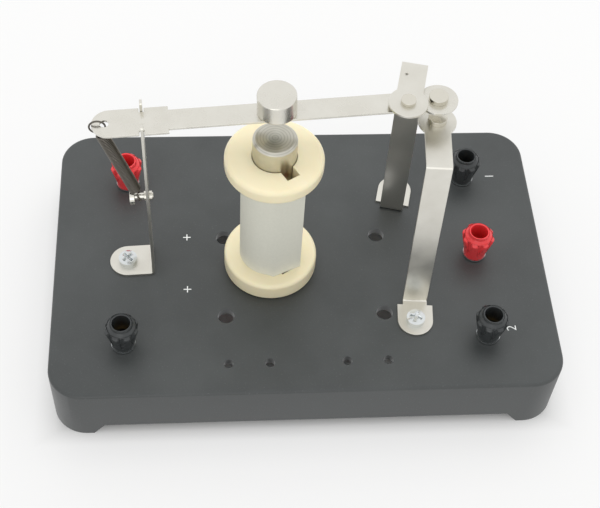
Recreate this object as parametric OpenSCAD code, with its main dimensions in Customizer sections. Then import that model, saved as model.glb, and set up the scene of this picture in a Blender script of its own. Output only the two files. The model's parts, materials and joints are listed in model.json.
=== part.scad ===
// Demonstration electromagnetic relay on a moulded base.
// Millimetres, +Z up. The origin is the middle of the base, at the level of the table.
// The front of the base faces -Y, and the armature runs along +X from its knife edge.

/* [Base] */
// Width of the base, left to right
base_w = 200; // [198:1:230]
// Depth of the base, front to back
base_d = 130; // [128:1:160]
// Height of the base from the table to the deck
base_h = 28; // [26:1:40]
// Thickness of the side walls
wall_t = 2.6; // [2:0.1:3.5]
// Thickness of the deck
deck_t = 3; // [2.5:0.1:4]
// Radius of the corners seen from above
corner_r = 13.5; // [10:0.5:18]
// Rounding along the top edge
edge_r = 1.4; // [0.8:0.1:2]
// Height of the low arch between the feet
arch_h = 6; // [5:0.5:9]
// Length of a foot, measured from the outside of the base
foot_len = 16; // [14:1:20]
// How far the end of a foot slants over its height
foot_slant = 4.5; // [2:0.5:6]
// Thickness of the stiffening ribs inside the walls
rib_t = 1.6; // [1.2:0.1:2.4]
// Depth of the stiffening ribs, in from the wall
rib_d = 4; // [2:0.5:6]
// Number of ribs along each long wall
rib_count = 5; // [3:1:8]

/* [Bobbin and coil] */
// Position of the coil axis, left to right
coil_x = -13.1; // [-16:0.1:-8]
// Position of the coil axis, front to back
coil_y = -4.2; // [-6:0.1:0]
// Diameter of both flanges
flange_dia = 37; // [34:0.5:40]
// Thickness of the lower flange
flange_low_t = 8.5; // [5:0.5:10]
// Thickness of the upper flange
flange_top_t = 6.2; // [4:0.2:8]
// Height of the bobbin above the deck
bobbin_h = 67; // [55:1:70]
// Rounding of the flange edges
flange_round = 1.7; // [0.5:0.1:2]
// Outer diameter of the bobbin's barrel
barrel_dia = 19.6; // [19.2:0.2:22]
// Outer diameter of the wire winding
winding_dia = 24; // [22.6:0.2:28]
// Thickness of the paper sleeve
paper_t = 0.3; // [0.2:0.1:0.5]
// Width of the square notch beside the bore
notch_w = 5.2; // [4:0.2:6]
// Reach of the notch from the coil axis
notch_reach = 12.5; // [11:0.5:14]
// Direction of the notch, seen from above
notch_angle = -59; // [-70:1:-45]

/* [Core] */
// Diameter of the iron core
core_dia = 16.5; // [15:0.1:17]
// Height of the core's pole face above the deck
core_h = 76.6; // [70:0.2:78]
// Chamfer around the pole face
core_chamfer = 1; // [0.4:0.1:1.6]
// Clearance of the core in the bobbin's bore
core_clear = 0.15; // [0.05:0.05:0.4]
// Diameter of the screw that holds the core down
core_screw_dia = 5; // [4:0.5:6]
// Length of thread inside the core
core_thread_len = 12; // [8:1:20]

/* [Sheet metal] */
// Thickness of the plated sheet
sheet_t = 1; // [0.8:0.1:1.2]
// Inside radius of every bend
bend_r = 0.6; // [0.4:0.1:1.2]
// Diameter of the bracket screws
screw_dia = 4; // [3:0.5:4]
// Diameter of the bracket screw heads
screw_head_dia = 7.4; // [6.5:0.1:8]
// Height of the bracket screw heads
screw_head_h = 2.7; // [2:0.1:3]
// Clearance of a screw in its hole
screw_clear = 0.15; // [0.1:0.05:0.4]

/* [Fulcrum bracket] */
// Foot screw, left to right
fulcrum_x = -70.4; // [-72:0.2:-68]
// Foot screw, front to back
fulcrum_y = -2.6; // [-5:0.2:0]
// Turn of the bracket about its foot screw
fulcrum_turn = 3; // [0:0.5:4]
// Width of the foot and the blade
blade_w = 14.4; // [13.6:0.2:16]
// Foot screw to the middle of the blade
blade_reach = 10; // [9.5:0.1:11]
// Height of the knife edge above the deck
knife_h = 83; // [81.5:0.5:84]
// Height of the ears above the knife edge
ear_h = 5.2; // [4:0.2:7]
// Height of the spring stud above the deck
stud_h = 42; // [38:1:46]
// Diameter of the spring stud
stud_dia = 2.4; // [2:0.1:3]
// Diameter of the stud's outer flange
stud_head_dia = 6; // [5:0.2:6.6]
// Length of the stud to the left of the blade
stud_len = 6.3; // [5.6:0.1:7]
// Thickness of the stud's outer flange
stud_flange_t = 1.8; // [1.2:0.1:2]

/* [Armature] */
// Tilt of the armature at rest, contact end up
rest_tilt = 2.2; // [1.9:0.1:2.3]
// Turn that brings the moving contact down to the lower one
pull_angle = 2.5; // [2:0.1:2.6]
// Turn of the armature about the upright, seen from above
armature_turn = 2.7; // [1.5:0.1:3.5]
// Width of the armature at its knife-edge end
arm_wide = 12.5; // [11.5:0.1:13]
// Width of the armature's long narrow part
arm_narrow = 9; // [8:0.1:10]
// Distance from the knife edge to the left end
arm_tail = 17.7; // [16.5:0.1:20]
// Distance from the knife edge to the spring hole
hook_reach = 13.1; // [12:0.1:14.5]
// Diameter of the spring hole
hook_hole_dia = 3.2; // [2.6:0.1:4]
// Distance from the knife edge to the step in width
arm_step = 9.5; // [7:0.5:14]
// Depth of the notches that locate the armature
arm_notch_d = 1.9; // [1.4:0.1:2.2]
// Width of the notches along the armature
arm_notch_w = 1.9; // [1.6:0.1:2.6]
// Distance from the knife edge to the armature disc
disc_reach = 48; // [44:0.5:52]
// Diameter of the armature disc
disc_dia = 14.3; // [12:0.1:16]
// Height of the armature disc
disc_h = 8.8; // [6:0.1:10]
// Distance from the knife edge to the moving contact
contact_reach = 106; // [103:0.5:107]
// Diameter of the round contact ends
end_dia = 14.2; // [13:0.1:15]

/* [Contacts] */
// Diameter of the contact heads
contact_dia = 7; // [6:0.1:8]
// Diameter of the riveted tails
tail_dia = 5.5; // [4.5:0.1:6]
// Diameter of the contact shanks
shank_dia = 3; // [2.5:0.1:3.5]
// Height of the moving contact's heads
moving_head_h = 2.2; // [1.8:0.1:2.6]
// Height of the lower contact's head
no_head_h = 2.4; // [2:0.1:2.8]
// Height of the upper contact's head
nc_head_h = 1.3; // [1:0.1:1.6]
// Crown of the contact faces
crown_h = 0.15; // [0.1:0.05:0.4]
// Gap left at a closed contact
contact_gap = 0.04; // [0.02:0.01:0.1]

/* [Contact brackets] */
// Width of the bracket feet
foot_w = 14; // [13:0.2:15]
// Width of the upright strips
strip_w = 9.6; // [9:0.1:10.5]
// Lower contact bracket's screw, left to right
no_x = 43.3; // [42:0.1:45]
// Lower contact bracket's screw, front to back
no_y = -34.4; // [-36:0.1:-33]
// Turn of the lower contact bracket
no_turn = 4.5; // [2:0.5:6]
// Lean of the lower contact bracket's strip
no_lean = 3.8; // [0:0.2:5]
// Foot screw to the upright, lower contact bracket
no_foot = 10.2; // [9.5:0.1:12]
// Foot screw to the contact, lower contact bracket
no_reach = 36.4; // [35:0.1:38]
// Upper contact bracket's screw, left to right
nc_x = 41.6; // [40:0.1:43]
// Upper contact bracket's screw, front to back
nc_y = 31.8; // [30:0.1:33]
// Turn of the upper contact bracket
nc_turn = 13.5; // [12:0.5:16]
// Lean of the upper contact bracket's strip
nc_lean = 1.8; // [0:0.2:3]
// Foot screw to the upright, upper contact bracket
nc_foot = 10.6; // [9.5:0.1:12]
// Foot screw to the contact, upper contact bracket
nc_reach = 32.7; // [31.5:0.1:34]
// Foot screw to the small hole in the upper arm
pip_reach = 19.2; // [16:0.1:24]
// How far the small hole lies to the left of the arm's middle
pip_side = 2.4; // [0:0.1:3]
// Diameter of the small hole
pip_dia = 1.2; // [0.8:0.1:2]

/* [Spring] */
// Outer diameter of the return spring
spring_dia = 4.8; // [4:0.1:5]
// Diameter of the spring wire
spring_wire = 0.7; // [0.5:0.05:0.8]

/* [Terminals] */
// Distance of the terminals from the sides of the base
post_inset = 28.6; // [22:0.1:29.4]
// Spacing of the terminals, front to back
post_pitch = 40; // [38:0.5:44]
// Position of the middle row of terminals
post_mid_y = -1.8; // [-4:0.1:2]
// Diameter of the threaded stud
stud_thread_dia = 5.9; // [5.6:0.1:6.2]
// Diameter of the plug socket in the stud
socket_dia = 4; // [4:0.1:4]
// Depth of the plug socket
socket_depth = 13; // [10:1:16]
// Height of the cap
cap_h = 13.8; // [12.6:0.1:16]
// Diameter of the cap at its foot
cap_low_dia = 9; // [8.8:0.1:10]
// Diameter over the cap's grips
cap_grip_dia = 13.2; // [12.6:0.1:14]
// Diameter of the ring on top of the cap
cap_ring_dia = 8.7; // [8.4:0.1:9.5]
// Diameter of the opening in the cap
cap_bore_dia = 6.9; // [6.4:0.1:7.2]
// Number of grips around the cap
grip_count = 8; // [6:1:10]
// Outer diameter of the threaded insert in the cap
insert_dia = 7.2; // [7:0.1:7.4]
// Running clearance of the screw thread and of the insert in its cap
thread_clear = 0.05; // [0.03:0.01:0.1]
// Diameter of the insulating collar
collar_dia = 9.2; // [9:0.1:12]
// Height of the collar above the deck
collar_h = 0.5; // [0.4:0.1:2.4]
// Thickness of the metal washer under the cap
washer_t = 0.7; // [0.6:0.1:1.2]

/* [Deck holes] */
// Diameter of the four large holes
large_hole_dia = 6.5; // [5:0.1:7]
// Spacing of the large holes, left to right
large_span_x = 63; // [62:1:70]
// Spacing of the large holes, front to back
large_span_y = 38.6; // [36:0.2:42]
// Middle of the large holes, front to back
large_mid_y = -10.7; // [-12:0.1:-9]
// Diameter of the four small holes
small_hole_dia = 3.8; // [3:0.1:4.5]
// Row of the small holes
small_y = -51.8; // [-53:0.1:-50]
// Spacing of the outer pair of small holes
small_outer = 62; // [56:1:70]
// Spacing of the inner pair of small holes
small_inner = 30; // [24:1:36]

/* [Hidden] */
$fn = 64;
deck_z = base_h;
under_z = base_h - deck_t;
blade_mid = blade_reach;
knife_z = deck_z + knife_h;
rear_y = post_mid_y + post_pitch;
front_y = post_mid_y - post_pitch;
post_x = base_w / 2 - post_inset;
posts = [[-post_x, rear_y], [-post_x, front_y], [post_x, rear_y], [post_x, post_mid_y], [post_x, front_y]];
bracket_screw_at = [[fulcrum_x, fulcrum_y], [no_x, no_y], [nc_x, nc_y]];

// Bends of the contact brackets, seen from the side
bend_out = bend_r + sheet_t;
function bend_rise(top, lean) = (top - 2 * bend_out + (bend_out + bend_r) * sin(lean)) / cos(lean);
function bend_x(reach, top, lean) =
    reach - bend_out + (bend_out + bend_r) * cos(lean) + bend_rise(top, lean) * sin(lean);

// Knife edge
seat_clear = 0.02;
knife_x = fulcrum_x + blade_reach * cos(fulcrum_turn);
knife_y = fulcrum_y + blade_reach * sin(fulcrum_turn);
pivot_z = knife_z + seat_clear;

// Upper contact: its face rests on the armature's upper side
nc_touch = (nc_x - nc_reach * sin(nc_turn) - knife_x) * cos(armature_turn)
    + (nc_y - nc_reach * cos(nc_turn) - knife_y) * sin(armature_turn);
nc_face_z = pivot_z + nc_touch * tan(rest_tilt) + sheet_t / cos(rest_tilt) + contact_gap;
nc_arm_top = round(1000 * (nc_face_z + nc_head_h + sheet_t - deck_z)) / 1000;

// Lower contact: the moving contact comes down on it
moving_low_z = pivot_z + contact_reach * sin(rest_tilt - pull_angle) - moving_head_h;
no_arm_top = round(1000 * (moving_low_z - contact_gap - no_head_h - deck_z)) / 1000;

// Hardware under the deck
nut_t = 3.2;
nut_af = 7;
post_nut_af = 10;
flat_washer_dia = 9;
flat_washer_t = 0.8;
tag_t = 0.6;
tag_len = 11;
tag_w = 3.4;
tag_hole_dia = 1.7;
thread_clear_nut = 0.02;
post_hole_dia = 7.8;
collar_spigot_dia = 7.6;
bush_t = 1.2;
lead_dia = 1.6;
coil_lead_dia = 0.9;
coil_lead_gap = 2.2;
lead_hole_dia = 3.6;
lead_hole_reach = 10.3;
lead_low_z = 18.8;
lead_high_z = 21.6;
lead_y = -18;
post_tag_turn = [-30, 30, -150, 180, 150];
bracket_tag_turn = [0, 35, -35];
bore_dia = core_dia + 2 * core_clear;

// Stack of a terminal, measured from the deck
cap_low_z = collar_h + washer_t + thread_clear;
cap_top_z = cap_low_z + cap_h;
stud_drop = 10;
stud_top = cap_top_z - stud_drop;
insert_top = stud_top - 0.6;

// Colours as the photograph shows them
black_abs = "#3c3f40";
cream_nylon = "#efe6c8";
nickel = "#c9c6ba";
zinc = "#d8dad9";
brass_tone = "#c3a15b";
copper_tone = "#a5572b";
paper_white = "#f1f0ec";
cap_red = "#d8232a";
cap_black = "#26282a";
fibre_tone = "#5a4636";

// Rectangle with round corners, centred
module round_rect(w, d, r) {
    square([w - 2 * r, d], center = true);
    square([w, d - 2 * r], center = true);
    for (x = [-1, 1], y = [-1, 1])
        translate([x * (w / 2 - r), y * (d / 2 - r)]) circle(r);
}

// Section of a wall block whose top outer edge is rounded
module rounded_edge_section(r, h, e) {
    square([r - e, h]);
    square([r, h - e]);
    translate([r - e, h - e]) circle(e);
}

// Box with round corners and a rounded top edge
module rounded_box(w, d, h, r, e) {
    translate([-(w / 2 - r), -(d / 2 - r), 0]) cube([w - 2 * r, d - 2 * r, h]);
    for (s = [0, 180]) rotate(s) {
        translate([w / 2 - r, d / 2 - r, 0]) rotate([90, 0, 0])
            linear_extrude(d - 2 * r) rounded_edge_section(r, h, e);
        translate([-(w / 2 - r), d / 2 - r, 0]) rotate([90, 0, 90])
            linear_extrude(w - 2 * r) rounded_edge_section(r, h, e);
    }
    for (s = [0, 180]) rotate(s) {
        translate([w / 2 - r, d / 2 - r, 0]) rotate_extrude(angle = 90) rounded_edge_section(r, h, e);
        translate([-(w / 2 - r), d / 2 - r, 0]) rotate(90)
            rotate_extrude(angle = 90) rounded_edge_section(r, h, e);
    }
}

// Opening of the low arch between two feet
module arch_cut(span, reach) {
    translate([0, reach / 2, 0]) rotate([90, 0, 0]) linear_extrude(reach)
        polygon([
            [-span / 2 + foot_len, -1], [span / 2 - foot_len, -1], [span / 2 - foot_len, 0],
            [span / 2 - foot_len - foot_slant, arch_h], [-span / 2 + foot_len + foot_slant, arch_h],
            [-span / 2 + foot_len, 0]
        ]);
}

// Upright rib on the inside of a wall
module wall_rib(x, y, along_x) {
    w = along_x ? rib_d : rib_t;
    d = along_x ? rib_t : rib_d;
    translate([x - w / 2, y - d / 2, arch_h + 2]) cube([w, d, under_z - arch_h - 2]);
}

module base_shell() {
    inner_w = base_w - 2 * wall_t;
    inner_d = base_d - 2 * wall_t;
    rib_pitch = (base_w - 2 * corner_r) / rib_count;
    color(black_abs) difference() {
        union() {
            difference() {
                rounded_box(base_w, base_d, base_h, corner_r, edge_r);
                translate([0, 0, -1]) linear_extrude(under_z + 1)
                    round_rect(inner_w, inner_d, corner_r - wall_t);
                arch_cut(base_w, base_d + 2);
                rotate(90) arch_cut(base_d, base_w + 2);
            }
            for (i = [0 : rib_count - 1], s = [-1, 1])
                wall_rib((i - (rib_count - 1) / 2) * rib_pitch, s * (inner_d / 2 - rib_d / 2), false);
            for (s = [-1, 1], y = [-post_pitch / 2, post_pitch / 2])
                wall_rib(s * (inner_w / 2 - rib_d / 2), y, true);
        }
        translate([0, 0, under_z - 1]) {
            for (p = posts) translate([p[0], p[1], 0]) cylinder(d = post_hole_dia, h = deck_t + 2);
            for (p = bracket_screw_at)
                translate([p[0], p[1], 0]) cylinder(d = screw_dia + 2 * screw_clear, h = deck_t + 2);
            translate([coil_x, coil_y, 0]) cylinder(d = core_screw_dia + 2 * screw_clear, h = deck_t + 2);
            translate([coil_x, coil_y, 0]) rotate(notch_angle)
                translate([lead_hole_reach, 0, 0]) cylinder(d = lead_hole_dia, h = deck_t + 2);
            for (x = [-1, 1], y = [-1, 1])
                translate([x * large_span_x / 2, large_mid_y + y * large_span_y / 2, 0])
                    cylinder(d = large_hole_dia, h = deck_t + 2);
            for (x = [-small_outer / 2, -small_inner / 2, small_inner / 2, small_outer / 2])
                translate([x, small_y, 0]) cylinder(d = small_hole_dia, h = deck_t + 2);
        }
    }
}

// Flange of the bobbin with rounded edges, seen in section
module flange_section(t) {
    r = flange_dia / 2;
    square([r - flange_round, t]);
    translate([0, flange_round]) square([r, t - 2 * flange_round]);
    for (z = [flange_round, t - flange_round]) translate([r - flange_round, z]) circle(flange_round);
}

module bobbin() {
    color(cream_nylon) translate([coil_x, coil_y, deck_z]) difference() {
        union() {
            rotate_extrude() flange_section(flange_low_t);
            translate([0, 0, bobbin_h - flange_top_t]) rotate_extrude() flange_section(flange_top_t);
            cylinder(d = barrel_dia, h = bobbin_h);
        }
        translate([0, 0, -1]) cylinder(d = bore_dia, h = bobbin_h + 2);
        rotate(notch_angle) {
            translate([0, -notch_w / 2, bobbin_h - flange_top_t - 0.6])
                cube([notch_reach, notch_w, flange_top_t + 1.6]);
            translate([0, -notch_w / 2, -1]) cube([notch_reach, notch_w, flange_low_t + 1.6]);
        }
    }
}

module coil_winding() {
    h = bobbin_h - flange_low_t - flange_top_t;
    color(copper_tone) translate([coil_x, coil_y, deck_z + flange_low_t]) difference() {
        cylinder(d = winding_dia, h = h);
        translate([0, 0, -1]) cylinder(d = barrel_dia, h = h + 2);
    }
}

// Point at a distance and a direction from the coil's axis
function around(r, a) = [r * cos(a), r * sin(a)];

// Paper round the winding; its outer end leaves the round and stands off as a flat face
module paper_sleeve() {
    r = winding_dia / 2 + paper_t;
    leave = -110;
    fold = -87;
    finish = -36;
    color(paper_white) translate([coil_x, coil_y, deck_z + flange_low_t])
        linear_extrude(bobbin_h - flange_low_t - flange_top_t) {
            difference() {
                circle(r);
                circle(r - paper_t);
            }
            polygon([
                around(r - 0.8 * paper_t, leave), around(r + 0.9, fold), around(r + 1.9, finish),
                around(r + 1.9 - paper_t, finish + 0.4), around(r + 0.9 - 1.1 * paper_t, fold),
                around(r - 0.9 * paper_t, leave + 4)
            ]);
        }
}

module iron_core() {
    color(nickel) translate([coil_x, coil_y, deck_z]) difference() {
        union() {
            cylinder(d = core_dia, h = core_h - core_chamfer);
            translate([0, 0, core_h - core_chamfer])
                cylinder(d1 = core_dia, d2 = core_dia - 2 * core_chamfer, h = core_chamfer);
        }
        translate([0, 0, -1]) cylinder(d = core_screw_dia + 2 * thread_clear_nut, h = core_thread_len + 1);
    }
}

module core_washer() {
    color(zinc) translate([coil_x, coil_y, under_z - flat_washer_t]) difference() {
        cylinder(d = 2.4 * core_screw_dia, h = flat_washer_t);
        translate([0, 0, -1]) cylinder(d = core_screw_dia + 2 * screw_clear, h = flat_washer_t + 2);
    }
}

// Cross recess cut into the top of a screw head that ends at z = 0
module cross_recess(d, depth) {
    for (a = [0, 90]) rotate(a)
        translate([-0.33 * d, -0.085 * d, -depth]) cube([0.66 * d, 0.17 * d, depth + 1]);
}

// Pan head standing on z = 0, with a domed top
module pan_head(d, h) {
    dome = 0.28 * h;
    dome_r = (pow(d / 2, 2) + pow(dome, 2)) / (2 * dome);
    difference() {
        union() {
            cylinder(d = d, h = h - dome);
            intersection() {
                cylinder(d = d, h = h);
                translate([0, 0, h - dome_r]) sphere(dome_r);
            }
        }
        translate([0, 0, h]) cross_recess(d, 0.62 * h);
    }
}

module core_screw() {
    color(zinc) translate([coil_x, coil_y, under_z - flat_washer_t]) {
        cylinder(d = core_screw_dia, h = flat_washer_t + deck_t + core_thread_len - 1);
        rotate([180, 0, 0]) pan_head(1.8 * core_screw_dia, 0.6 * core_screw_dia);
    }
}

// Foot plate with one round end about the screw, flat on z = 0
module foot_plate(w, reach) {
    difference() {
        linear_extrude(sheet_t) {
            circle(d = w);
            translate([0, -w / 2]) square([reach, w]);
        }
        translate([0, 0, -1]) cylinder(d = screw_dia + 2 * screw_clear, h = sheet_t + 2);
    }
}

// Sector of a bend seen from the side, centred on the origin
module bend_sector(from, to) {
    far = 2 * bend_out;
    intersection() {
        difference() {
            circle(bend_out);
            circle(bend_r);
        }
        polygon([[0, 0], [far * cos(from), far * sin(from)],
            [far * cos((from + to) / 2), far * sin((from + to) / 2)], [far * cos(to), far * sin(to)]]);
    }
}

// Points along an arc
function arc(centre, r, from, to, steps = 10) =
    [for (i = [0 : steps]) centre + around(r, from + (to - from) * i / steps)];

// Side view of a contact bracket: neck, foot bend, leaning upright, upper bend and level arm
module contact_bracket_section(neck, reach, top, lean, arm) {
    low = [reach - bend_out, bend_out];
    high = [bend_x(reach, top, lean), top - bend_out];
    polygon(concat(
        [[low[0] - neck, 0]], arc(low, bend_out, -90, -lean), arc(high, bend_r, 180 - lean, 90),
        [[high[0] + arm, top - sheet_t], [high[0] + arm, top]],
        arc(high, bend_out, 90, 180 - lean), arc(low, bend_r, -lean, -90), [[low[0] - neck, sheet_t]]
    ));
}

// Side view of the fulcrum bracket: foot bend and straight blade
module blade_section(reach, top) {
    translate([reach - bend_out, bend_out]) {
        bend_sector(-90, 0);
        translate([bend_r, 0]) square([sheet_t, top - bend_out]);
    }
}

module fulcrum_bracket() {
    gap = arm_wide - 2 * arm_notch_d + 0.3;
    ear_w = (blade_w - gap) / 2;
    bevel = 0.4;
    color(nickel) translate([fulcrum_x, fulcrum_y, deck_z]) rotate(fulcrum_turn) difference() {
        union() {
            foot_plate(blade_w, blade_mid + sheet_t / 2 - bend_out);
            translate([0, blade_w / 2, 0]) rotate([90, 0, 0]) linear_extrude(blade_w)
                blade_section(blade_mid + sheet_t / 2, knife_h - bevel);
            // Knife edge between the ears
            translate([blade_mid, gap / 2, knife_h - bevel]) rotate([90, 0, 0]) linear_extrude(gap)
                polygon([[-sheet_t / 2, 0], [sheet_t / 2, 0], [0.1, bevel], [-0.1, bevel]]);
            // Ears with round tips
            for (s = [-1, 1])
                translate([blade_mid - sheet_t / 2, s * (blade_w - ear_w) / 2, knife_h - bevel])
                    rotate([90, 0, 90]) linear_extrude(sheet_t) {
                        translate([-ear_w / 2, 0]) square([ear_w, ear_h + bevel - ear_w / 2]);
                        translate([0, ear_h + bevel - ear_w / 2]) circle(d = ear_w);
                    }
        }
        translate([blade_mid - sheet_t, 0, stud_h]) rotate([0, 90, 0])
            cylinder(d = stud_dia + 0.1, h = 2 * sheet_t);
    }
}

module spring_stud() {
    left = blade_mid - sheet_t / 2;
    right = blade_mid + sheet_t / 2;
    color(nickel) translate([fulcrum_x, fulcrum_y, deck_z + stud_h]) rotate(fulcrum_turn)
        rotate([0, 90, 0]) {
            translate([0, 0, left - stud_len]) cylinder(d = stud_dia, h = stud_len + sheet_t + 1.6);
            translate([0, 0, left - stud_len]) cylinder(d = stud_head_dia, h = stud_flange_t);
            translate([0, 0, left - stud_flange_t / 2]) cylinder(d = 1.5 * stud_dia, h = stud_flange_t / 2);
            translate([0, 0, right]) cylinder(d = 1.5 * stud_dia, h = 1.2);
        }
}

// Torus about Z
module wire_ring(r, wire) {
    rotate_extrude($fn = 32) translate([r, 0]) circle(d = wire, $fn = 16);
}

// Return spring: eye round the armature's tail, close-wound coil, neck, and eye round the stud
module return_spring() {
    hook_r = 2.9;
    eye_r = 2.1;
    eye_drop = 0.45;
    top = on_arm_point(-arm_tail + 2, -eye_drop);
    low_x = blade_reach - sheet_t / 2 - stud_flange_t / 2 - 1.9;
    low = [
        fulcrum_x + low_x * cos(fulcrum_turn), fulcrum_y + low_x * sin(fulcrum_turn),
        deck_z + stud_h + 0.42
    ];
    run = top - low;
    len = norm(run);
    coil_r = (spring_dia - spring_wire) / 2;
    coil_from = stud_head_dia / 2 + 1.4;
    coil_to = len - hook_r;
    pitch = 0.94 * spring_wire;
    turns = floor((coil_to - coil_from) / pitch);
    color(zinc) translate(low) rotate([0, acos(run[2] / len), atan2(run[1], run[0])]) {
        // Eye round the stud, and its neck
        rotate([0, 90, 0]) wire_ring(eye_r, spring_wire);
        translate([0, 0, eye_r]) cylinder(d = spring_wire, h = coil_from - eye_r);
        translate([0, 0, coil_from]) rotate([-90, 0, 0]) cylinder(d = spring_wire, h = coil_r);
        // Coil
        rotate_extrude($fn = 32) for (i = [0 : turns])
            translate([coil_r, coil_from + i * (coil_to - coil_from) / turns]) circle(d = spring_wire, $fn = 16);
        // Eye round the armature's tail
        translate([0, 0, coil_to - 0.1]) rotate([0, 90, 0]) cylinder(d = 0.9 * spring_wire, h = coil_r);
        translate([0, 0, len]) rotate([90, 0, 0]) wire_ring(hook_r, spring_wire);
    }
}

// Where a point of the armature lies at rest: s along the strip, h above its underside
function on_arm_point(s, h) = [
    knife_x + (s * cos(rest_tilt) - h * sin(rest_tilt)) * cos(armature_turn),
    knife_y + (s * cos(rest_tilt) - h * sin(rest_tilt)) * sin(armature_turn),
    pivot_z + s * sin(rest_tilt) + h * cos(rest_tilt)
];

// Puts a piece of the armature in its place at rest: x along the strip, z = 0 at its underside
module on_armature() {
    translate([knife_x, knife_y, pivot_z]) rotate(armature_turn) rotate([0, -rest_tilt, 0])
        children();
}

module armature_strip() {
    wide_end = arm_wide / 2;
    color(nickel) on_armature() difference() {
        linear_extrude(sheet_t) difference() {
            union() {
                translate([-arm_tail + wide_end, 0]) circle(d = arm_wide);
                translate([-arm_tail + wide_end, -wide_end]) square([arm_tail - wide_end + arm_step, arm_wide]);
                translate([0, -arm_narrow / 2]) square([contact_reach, arm_narrow]);
                translate([contact_reach, 0]) circle(d = end_dia);
            }
            for (s = [-1, 1]) translate([-arm_notch_w / 2, s * wide_end - arm_notch_d])
                square([arm_notch_w, 2 * arm_notch_d]);
        }
        translate([-hook_reach, 0, -1]) cylinder(d = hook_hole_dia, h = sheet_t + 2);
        translate([disc_reach, 0, -1]) cylinder(d = screw_dia + 2 * screw_clear, h = sheet_t + 2);
        translate([contact_reach, 0, -1]) cylinder(d = shank_dia + 0.05, h = sheet_t + 2);
    }
}

module armature_disc() {
    edge = 0.5;
    color(nickel) on_armature() translate([disc_reach, 0, sheet_t]) difference() {
        union() {
            translate([0, 0, edge]) cylinder(d = disc_dia, h = disc_h - 2 * edge);
            cylinder(d1 = disc_dia - 2 * edge, d2 = disc_dia, h = edge);
            translate([0, 0, disc_h - edge]) cylinder(d1 = disc_dia, d2 = disc_dia - 2 * edge, h = edge);
        }
        translate([0, 0, -1]) cylinder(d = screw_dia + 2 * thread_clear_nut, h = disc_h - 1);
    }
}

module disc_screw() {
    color(zinc) on_armature() translate([disc_reach, 0, 0]) {
        cylinder(d = screw_dia, h = sheet_t + disc_h - 3);
        rotate([180, 0, 0]) pan_head(screw_head_dia, 0.8 * screw_head_h);
    }
}

// Contact head standing on z = 0 with a crowned face
module contact_head(d, h) {
    crown_r = (pow(d / 2, 2) + pow(crown_h, 2)) / (2 * crown_h);
    cylinder(d = d, h = h - crown_h);
    intersection() {
        cylinder(d = d, h = h);
        translate([0, 0, h - crown_r]) sphere(crown_r);
    }
}

module moving_contact() {
    color(nickel) on_armature() translate([contact_reach, 0, 0]) {
        cylinder(d = shank_dia, h = sheet_t);
        translate([0, 0, sheet_t]) contact_head(contact_dia, moving_head_h);
        rotate([180, 0, 0]) contact_head(contact_dia, moving_head_h);
    }
}

// Bracket that carries a fixed contact: foot, leaning upright, level arm with a round end
module contact_bracket(reach, top, lean, len) {
    neck = 1.4;
    difference() {
        union() {
            foot_plate(foot_w, reach - bend_out - neck);
            translate([0, strip_w / 2, 0]) rotate([90, 0, 0]) linear_extrude(strip_w)
                contact_bracket_section(neck, reach, top, lean, len - bend_x(reach, top, lean));
            translate([len, 0, top - sheet_t]) cylinder(d = end_dia, h = sheet_t);
        }
        translate([len, 0, top - sheet_t - 1]) cylinder(d = shank_dia + 0.05, h = sheet_t + 2);
    }
}

module place_lower() {
    translate([no_x, no_y, deck_z]) rotate(90 - no_turn) children();
}

module place_upper() {
    translate([nc_x, nc_y, deck_z]) rotate(-90 - nc_turn) children();
}

module lower_contact_bracket() {
    color(nickel) place_lower() contact_bracket(no_foot, no_arm_top, no_lean, no_reach);
}

module upper_contact_bracket() {
    color(nickel) place_upper() difference() {
        contact_bracket(nc_foot, nc_arm_top, nc_lean, nc_reach);
        translate([pip_reach, -pip_side, nc_arm_top - sheet_t - 1]) cylinder(d = pip_dia, h = sheet_t + 2);
    }
}

module lower_contact() {
    color(nickel) place_lower() translate([no_reach, 0, no_arm_top]) {
        translate([0, 0, -sheet_t]) cylinder(d = shank_dia, h = sheet_t);
        contact_head(contact_dia, no_head_h);
        translate([0, 0, -sheet_t]) rotate([180, 0, 0]) contact_head(tail_dia, 1.2);
    }
}

module upper_contact() {
    color(nickel) place_upper() translate([nc_reach, 0, nc_arm_top - sheet_t]) {
        cylinder(d = shank_dia, h = sheet_t);
        rotate([180, 0, 0]) contact_head(contact_dia, nc_head_h);
        translate([0, 0, sheet_t]) contact_head(tail_dia, 1.6);
    }
}

module bracket_screws() {
    low = deck_t + flat_washer_t + tag_t + nut_t + 1.5;
    color(zinc) for (p = bracket_screw_at) translate([p[0], p[1], deck_z + sheet_t]) {
        translate([0, 0, -low - sheet_t]) cylinder(d = screw_dia, h = low + sheet_t);
        rotate(25 + p[0]) pan_head(screw_head_dia, screw_head_h);
    }
}

// Flat ring with its top at z = 0
module ring(od, id, t) {
    translate([0, 0, -t]) difference() {
        cylinder(d = od, h = t);
        translate([0, 0, -1]) cylinder(d = id, h = t + 2);
    }
}

// Hexagon nut with its top at z = 0
module hex_nut(af, id, t) {
    translate([0, 0, -t]) difference() {
        cylinder(d = af / cos(30), h = t, $fn = 6);
        translate([0, 0, -1]) cylinder(d = id, h = t + 2);
    }
}

// Solder tag: an eye with its top at z = 0 and a tongue towards +X
module solder_tag(eye, id) {
    translate([0, 0, -tag_t]) difference() {
        linear_extrude(tag_t) {
            circle(d = eye);
            translate([0, -tag_w / 2]) square([tag_len, tag_w]);
            translate([tag_len, 0]) circle(d = tag_w);
        }
        translate([0, 0, -1]) cylinder(d = id, h = tag_t + 2);
        translate([tag_len, 0, -1]) cylinder(d = tag_hole_dia, h = tag_t + 2);
    }
}

module bracket_washers() {
    color(zinc) for (p = bracket_screw_at)
        translate([p[0], p[1], under_z]) ring(flat_washer_dia, screw_dia + 2 * screw_clear, flat_washer_t);
}

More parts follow.
